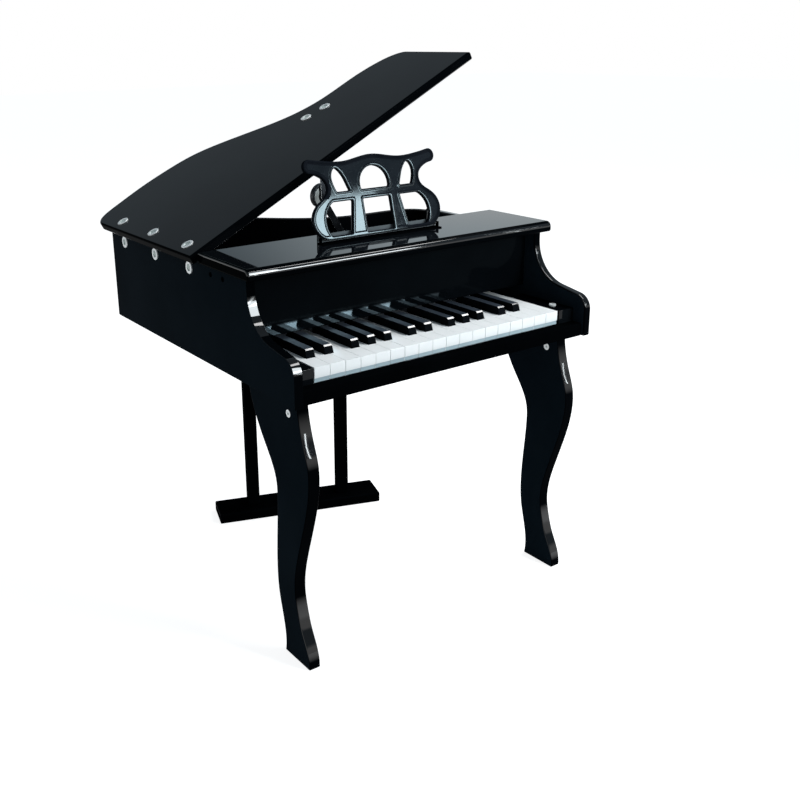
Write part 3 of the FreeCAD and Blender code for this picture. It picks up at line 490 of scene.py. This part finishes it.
def dressed_legs(node):
    """Each leg is a board sawn to its outline, with a bore for the barrel nut."""
    source = welded(node)
    low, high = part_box(node)
    sides = [face for face in source.faces if face.normal.x > LEG_FACING]
    largest = max(face.calc_area() for face in sides)
    inner = min(face.calc_center_median().x for face in sides if face.calc_area() > PLATE_SHARE * largest)
    thick = inner - low[0]
    mesh = bmesh.new()
    for near in (inner, high[0]):
        plate = [face for face in sides if abs(face.calc_center_median().x - near) < SAME_PLANE]
        plate_block(mesh, side_loops(plate, Y_AXIS, Z_AXIS), near, near - thick, (Y_AXIS, Z_AXIS, X_AXIS))
    source.free()
    flattened(mesh)
    soften(mesh, width=0.0016)
    # The legs' broad sides take the lighter navy black too, a painted sheen.
    for face in mesh.faces:
        face.material_index = side_board(face.normal)
    dressed(node, mesh, width=0.0002, segments=2, finishes=COATS, edge_finish=FRONT)


dressed_legs("front_legs")

# Music rest: a moulding with round corners, a raised bead along every rim and a lower face between them
REST_VOXEL = 0.0006
REST_SMOOTHING = 32
BEAD_WIDTH, BEAD_SLOPE, BEAD_RISE = 0.0026, 0.0014, 0.0007
DULL_RIM = 0.0058  # the outer rim is dull in its upper half and along its right end
UPPER_SHARE, RIGHT_SHARE = 0.5, 0.7
UPTURN = 0.1  # faces that look up by this much more than the front are dull too
TINY = 1e-12  # stands for the squared length of a run between two equal points


def rest_loops():
    """Outline and openings of the rest's front, with the axes of its plate and its two planes."""
    mesh = welded("music_rest")
    fronts = [face for face in mesh.faces if face.normal.y < 0]
    front = max(fronts, key=lambda face: face.calc_area()).normal.copy()
    rise = front.cross(X_AXIS)
    heights = [vert.co.dot(front) for vert in mesh.verts]
    plate = [face for face in mesh.faces if face.normal.dot(front) > REST_FACING]
    loops = side_loops(plate, X_AXIS, rise)
    mesh.free()
    return loops, (X_AXIS, rise, front), (max(heights), min(heights))


def rim_distance(points, loops):
    """How far each point of the plate is from the nearest rim."""
    nearest = np.full(len(points), np.inf)
    for ring in loops:
        starts = np.array(ring)
        runs = np.roll(starts, -1, axis=0) - starts
        for start, run in zip(starts, runs):
            away = points - start
            share = np.clip(away @ run / max(run @ run, TINY), 0, 1)
            nearest = np.minimum(nearest, np.hypot(*(away - share[:, None] * run).T))
    return nearest


def moulded_block(loops, near, far):
    """The plate lying flat, with its corners rounded."""
    mesh = bmesh.new()
    plate_block(mesh, loops, near, far, (X_AXIS, Y_AXIS, Z_AXIS))
    block = bpy.data.meshes.new("rest_block")
    mesh.to_mesh(block)
    mesh.free()
    rough = bpy.data.objects.new("rest_block", block)
    scene.collection.objects.link(rough)
    remesh = rough.modifiers.new("voxels", "REMESH")
    remesh.mode = "VOXEL"
    remesh.voxel_size = REST_VOXEL
    smooth = rough.modifiers.new("soft", "SMOOTH")
    smooth.factor = 0.5
    smooth.iterations = REST_SMOOTHING
    bpy.context.view_layer.update()
    result = bpy.data.meshes.new_from_object(rough.evaluated_get(bpy.context.evaluated_depsgraph_get()))
    bpy.data.objects.remove(rough)
    return result


def dressed_rest(node):
    loops, axes, (near, far) = rest_loops()
    data = moulded_block(loops, near, far)
    spots = np.array([vert.co[:] for vert in data.vertices])
    flat = spots[:, :2].copy()

    inward = np.clip((rim_distance(flat, loops) - BEAD_WIDTH) / BEAD_SLOPE, 0, 1)
    dip = BEAD_RISE * inward * inward * (3 - 2 * inward)
    middle, half = (near + far) / 2, (near - far) / 2
    spots[:, 2] -= np.clip((spots[:, 2] - middle) / half, -1, 1) * dip
    world = spots @ np.array([axis[:] for axis in axes])
    data.vertices.foreach_set("co", world.astype(np.float32).ravel())
    data.update()

    outline = max(loops, key=lambda ring: np.ptp(np.array(ring), axis=0).sum())
    low, high = np.min(outline, axis=0), np.max(outline, axis=0)
    right, up = ((flat - low) / (high - low)).T
    dull = (rim_distance(flat, [outline]) < DULL_RIM) & ((up > UPPER_SHARE) | (right > RIGHT_SHARE))
    steep = axes[2].z + UPTURN
    kinds = [int(face.normal.z > steep or dull[face.vertices[0]]) for face in data.polygons]
    data.materials.clear()
    for finish in (FINISH["rest_plastic"], moulded_plastic("rest_plastic_rim", specular=0.0)):
        data.materials.append(finish)
    data.polygons.foreach_set("material_index", kinds)
    item = listed(f"{node}_dressed", data, body_of[node])
    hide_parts(node)


dressed_rest("music_rest")

# Bolts with a socket in each head
SOCKET_SIDES = 6
SOCKET_DEPTH = 0.0012
SOCKET_SLOPE = 0.0004
ROUND_CORNERS = 8  # a round face has more corners than this
HEAD_SHARE = 0.15  # a head has at least this share of the largest one's area


def sunk(mesh, face, rim):
    """Sinks a socket with flat sides into a round face, inside a flat rim; the socket's floor and walls take a
    darker finish, a painted shade in the recess.
    """
    middle = face.calc_center_median()
    reach = max((vert.co - middle).length for vert in face.verts)
    bmesh.ops.inset_individual(mesh, faces=[face], thickness=rim)
    sector = 2 * math.pi / SOCKET_SIDES
    inner = (reach - rim) * math.cos(sector / 2)
    first = (face.verts[0].co - middle).normalized()
    second = face.normal.cross(first)
    for vert in face.verts:
        spoke = vert.co - middle
        turn = math.atan2(spoke.dot(second), spoke.dot(first)) % sector - sector / 2
        vert.co = middle + spoke.normalized() * (inner / math.cos(turn))
    before = set(mesh.faces)
    bmesh.ops.inset_individual(mesh, faces=[face], thickness=SOCKET_SLOPE, depth=-SOCKET_DEPTH)
    face.material_index = 1
    for wall in set(mesh.faces) - before:
        wall.material_index = 1


def dressed_bolts(node, outward, rim_share):
    mesh = welded(node)
    heads = []
    for face in mesh.faces:
        if len(face.verts) > ROUND_CORNERS and any(face.normal.dot(way) > FACING for way in outward):
            heads.append(face)
    largest = max(face.calc_area() for face in heads)
    for face in heads:
        if face.calc_area() > HEAD_SHARE * largest:
            sunk(mesh, face, math.sqrt(face.calc_area() / math.pi) * rim_share)
    dressed(node, mesh, width=0.0005, finishes=[FINISH["steel"], SOCKET_SHADE_STEEL])


dressed_bolts("lid_bolts", [LID_UP], rim_share=0.36)
dressed_bolts("case_bolts", [-X_AXIS], rim_share=0.36)
dressed_bolts("leg_bolts", [-X_AXIS, X_AXIS, Z_AXIS], rim_share=0.62)

# Lid stay: dark arms whose bevelled edges are painted pale steel as a painted highlight, a dished friction disc
# with a hub
DISC_STEPS = (  # inward, outward, bright or not
    (0.0035, 0, False),
    (0.0005, -0.0012, False),
    (0.0075, 0, True),
    (0.0006, 0.0014, False),
    (0.0028, 0, False),
    (0.0003, -0.0008, False),
)


def dressed_disc(node):
    mesh = welded(node)
    for side in (-1, 1):
        faces = [face for face in mesh.faces if face.normal.y * side > FACING]
        face = max(faces, key=lambda face: face.calc_area())
        for inward, outward, bright in DISC_STEPS:
            before = set(mesh.faces)
            bmesh.ops.inset_individual(mesh, faces=[face], thickness=inward, depth=outward)
            if bright:
                for ring in set(mesh.faces) - before:
                    ring.material_index = 1
        face.material_index = 1
    dressed(node, mesh, width=0.0006, finishes=[FINISH["stay_steel"], DISC_STEEL])


dressed_disc("stay_friction_disc")
for node in ("stay_upper_arm", "stay_lower_arm", "stay_lid_bracket", "stay_case_bracket"):
    # the bevels take the pale steel, a painted highlight along the edges
    finishes = [FINISH["stay_steel"], STEEL_EDGE_HIGHLIGHT]
    dressed(node, welded(node), width=0.001, segments=2, finishes=finishes, edge_finish=1)

# Works, hinges and keys
EDGE_WIDTHS = {
    "key_rails": 0.0006,
    "key_felts": 0.0012,
    "chime_block": 0.0012,
    "chime_rods": 0.0006,
    "hinge_case_leaves": 0.0003,
    "hinge_lid_leaves": 0.0003,
}
for node, width in EDGE_WIDTHS.items():
    dressed(node, welded(node), width)

SKIRT_SETBACK = 0.0004, 0.003  # nearest and farthest, behind a white key's front
BLACK_KEY_FRONT = 0.02
BLACK_KEY_BEVEL = 0.0018
BLACK_KEY_SLANT = -0.6  # normals of the sloping front point forward at least this much


def dressed_white_key(node):
    """The front below the step is painted a darker, bluish grey: painted shade under the step."""
    mesh = welded(node)
    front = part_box(node)[0][1]
    for face in mesh.faces:
        setback = face.calc_center_median().y - front
        if face.normal.y < -FACING and SKIRT_SETBACK[0] < setback < SKIRT_SETBACK[1]:
            face.material_index = 1
    dressed(node, mesh, width=0.0005, finishes=[FINISH["white_key"], KEY_SKIRT_SHADE])


def dressed_black_key(node):
    """A satin top painted a lighter bluish grey as a painted sheen, dark flanks and a polished bevel over the
    front.
    """
    mesh = welded(node)
    front_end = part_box(node)[0][1] + BLACK_KEY_FRONT
    for face in mesh.faces:
        face.material_index = 1 if face.normal.z > LEANING else 0
    ridge = []
    for edge in mesh.edges:
        sides = [face.normal for face in edge.link_faces]
        top, front = max(way.z for way in sides), min(way.y for way in sides)
        if edge.verts[0].co.y < front_end and top > LEANING and front < BLACK_KEY_SLANT:
            ridge.append(edge)
    cut = bmesh.ops.bevel(
        mesh,
        geom=ridge,
        offset=BLACK_KEY_BEVEL,
        offset_type="OFFSET",
        segments=1,
        affect="EDGES",
    )
    for face in cut["faces"]:
        face.material_index = 2
    dressed(node, mesh, width=0.0004, segments=2, finishes=[FINISH["black_key"], KEY_TOP_SHEEN, KEY_EDGE])


for node in keys:
    if slot_of[node] == "white_key":
        dressed_white_key(node)
    else:
        dressed_black_key(node)

# Rods that keep their solids
RODS = {"key_pivot_rod": "steel", "hinge_pins": "steel", "music_rest_rod": "black_metal"}
for node, finish in RODS.items():
    nodes[node].data.materials.clear()
    nodes[node].data.materials.append(FINISH[finish])

# Two round plugs over screw holes in the left panel
PLUG_PLACES = (-0.083, 0.499), (-0.1158, 0.499)
PLUG_RINGS = (0.0034, 0.0), (0.0034, 0.0004), (0.003, 0.0007), (0.0022, 0.0005)  # radius, height
PLUG_TURNS = 32


def panel_plugs():
    mesh = bmesh.new()
    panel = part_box("left_side_panel")[0][0]
    for middle_y, middle_z in PLUG_PLACES:
        rings = []
        for radius, rise in PLUG_RINGS:
            ring = []
            for step in range(PLUG_TURNS):
                angle = 2 * math.pi * step / PLUG_TURNS
                y, z = middle_y + radius * math.cos(angle), middle_z + radius * math.sin(angle)
                ring.append(mesh.verts.new((panel - rise, y, z)))
            rings.append(ring)
        for outer, inner in zip(rings, rings[1:]):
            for step in range(PLUG_TURNS):
                after = (step + 1) % PLUG_TURNS
                mesh.faces.new((outer[step], inner[step], inner[after], outer[after]))
        mesh.faces.new(rings[-1][::-1])
    bmesh.ops.recalc_face_normals(mesh, faces=mesh.faces)
    piece("panel_plugs", mesh, "case", [COATS[DULL]])


panel_plugs()

# Stage: floor, sky and lamps
FLOOR_REACH = 14
FLOOR_LIFT = 0.86
WHITE = (1, 1, 1)
COOL = (0.9, 0.97, 1.0)
PALE_BLUE, BLUE = (0.82, 0.94, 1.0), (0.8, 0.92, 0.98)
LOW_HAZE, HAZE = (0.22, 0.28, 0.32), (0.2, 0.26, 0.29)
DIM = (0.22, 0.26, 0.29)


def stage_floor():
    m = Nodes("floor_paint")
    m.feed("Base Color", m.ramp(m.noise(scale=3, detail=3), 0.49, 0.51))
    m.set(Roughness=0.9, Specular_IOR_Level=0.0, Emission_Color=(*WHITE, 1))
    rays = m.add("ShaderNodeLightPath").outputs
    seen = rays["Is Camera Ray"]
    for kind in ("Is Glossy Ray", "Is Transmission Ray"):
        seen = m.math("MAXIMUM", seen, rays[kind])
    m.feed("Emission Strength", m.math("MULTIPLY", seen, FLOOR_LIFT))
    mesh = bmesh.new()
    bmesh.ops.create_grid(mesh, x_segments=8, y_segments=8, size=FLOOR_REACH)
    data = bpy.data.meshes.new("floor")
    mesh.to_mesh(data)
    mesh.free()
    data.materials.append(m.material)
    floor = bpy.data.objects.new("floor", data)
    scene.collection.objects.link(floor)


def stage_sky():
    """White round the horizon; over it pale blue behind the piano, dim in front and overhead."""
    world = bpy.data.worlds.new("studio")
    scene.world = world
    world.use_nodes = True
    tree = world.node_tree
    split = tree.nodes.new("ShaderNodeSeparateXYZ")
    tree.links.new(tree.nodes.new("ShaderNodeTexCoord").outputs["Generated"], split.inputs[0])

    def bands(*rows):
        """Shades by height over the horizon, in degrees."""
        ramp = tree.nodes.new("ShaderNodeValToRGB")
        steps = ramp.color_ramp.elements
        for spare in range(len(rows) - len(steps)):
            steps.new(0.5 + 0.1 * spare)
        for step, (height, shade) in zip(steps, rows):
            step.position = math.sin(math.radians(height))
            step.color = (*shade, 1)
        tree.links.new(split.outputs["Z"], ramp.inputs["Fac"])
        return ramp.outputs["Color"]

    behind = bands((8, WHITE), (11, PALE_BLUE), (18, BLUE), (24, DIM))
    before = bands((8, WHITE), (11, DIM))
    shades = bands((8, WHITE), (11, LOW_HAZE), (18, HAZE), (24, DIM))
    for axis, start, end, other in (("X", 0.42, 0.62, behind), ("Y", 0.3, -0.25, before)):
        side = tree.nodes.new("ShaderNodeMapRange")
        side.interpolation_type = "SMOOTHSTEP"
        side.inputs["From Min"].default_value = start
        side.inputs["From Max"].default_value = end
        tree.links.new(split.outputs[axis], side.inputs["Value"])
        mix = tree.nodes.new("ShaderNodeMix")
        mix.data_type = "RGBA"
        tree.links.new(side.outputs["Result"], mix.inputs["Factor"])
        tree.links.new(shades, mix.inputs["A"])
        tree.links.new(other, mix.inputs["B"])
        shades = mix.outputs["Result"]
    tree.links.new(shades, tree.nodes["Background"].inputs["Color"])


def placed(name, data, place, across, up, back):
    """A lamp or camera in the scene, by the directions of its own axes."""
    item = bpy.data.objects.new(name, data)
    item.matrix_world = Matrix.Translation(place) @ Matrix((across, up, back)).transposed().to_4x4()
    scene.collection.objects.link(item)
    return item


def lamp(name, place, aim, size, radiance, tint=WHITE, upright=Z_AXIS):
    data = bpy.data.lights.new(name, "AREA")
    data.shape = "RECTANGLE"
    data.size, data.size_y = size
    data.energy = radiance * math.pi * size[0] * size[1]
    data.color = tint
    back = (Vector(place) - Vector(aim)).normalized()
    across = Vector(upright).cross(back).normalized()
    placed(name, data, place, across, back.cross(across), back).visible_camera = False


stage_floor()
stage_sky()
LAMP_WALL = -1.5  # most lamps in front stand in this plane
STRIP_WIDTH = 0.01
STRIPS = {  # place across, lower end, upper end
    "left_leg_strip_1": (0.4675, 0.5, 0.95),
    "right_leg_strip_1": (1.4435, 0.5, 0.95),
    "right_cheek_strip_1": (1.59, 0.9, 1.5),
}
lamp("overhead", place=(1.4, -0.45, 2.4), aim=(0, -0.15, 0.5), size=(1.7, 0.75), radiance=12.5)
lamp("softbox", (0.78, LAMP_WALL, 0.89), aim=(0.78, 0, 0.89), size=(0.56, 0.34), radiance=25, tint=COOL)
lamp(
    "cheek_card",
    place=(0.546, -1.45, 1.18),
    aim=(-0.27, -0.23, 0.476),
    size=(0.1, 0.886),
    radiance=20,
    tint=COOL,
    upright=(0.163, 0.203, 0.966),
)
for name, (x, low, high) in STRIPS.items():
    z = (low + high) / 2
    lamp(name, (x, LAMP_WALL, z), aim=(x, 0, z), size=(STRIP_WIDTH, high - low), radiance=26, tint=COOL)

# Camera, fitted to the photograph
IMAGE_WIDTH = 800
CAMERA_PLACE = Vector((-0.809961, -1.196477, 0.791543))
CAMERA_YAW, CAMERA_PITCH, CAMERA_ROLL = 0.6010316, 0.3066968, 0.0154343
FOCAL_PIXELS, CENTRE_PIXELS = 984.294, (342.127, 345.665)

camera = bpy.data.cameras.new("camera")
camera.sensor_width = 36
camera.lens = camera.sensor_width * FOCAL_PIXELS / IMAGE_WIDTH
camera.shift_x = 0.5 - CENTRE_PIXELS[0] / IMAGE_WIDTH
camera.shift_y = CENTRE_PIXELS[1] / IMAGE_WIDTH - 0.5
ahead = Vector((
    math.sin(CAMERA_YAW) * math.cos(CAMERA_PITCH),
    math.cos(CAMERA_YAW) * math.cos(CAMERA_PITCH),
    -math.sin(CAMERA_PITCH),
))
level = Vector((math.cos(CAMERA_YAW), -math.sin(CAMERA_YAW), 0))
sunken = ahead.cross(level)
across = math.cos(CAMERA_ROLL) * level + math.sin(CAMERA_ROLL) * sunken
down = math.cos(CAMERA_ROLL) * sunken - math.sin(CAMERA_ROLL) * level
scene.camera = placed("camera", camera, CAMERA_PLACE, across, -down, -ahead)
scene.view_settings.view_transform = "Standard"
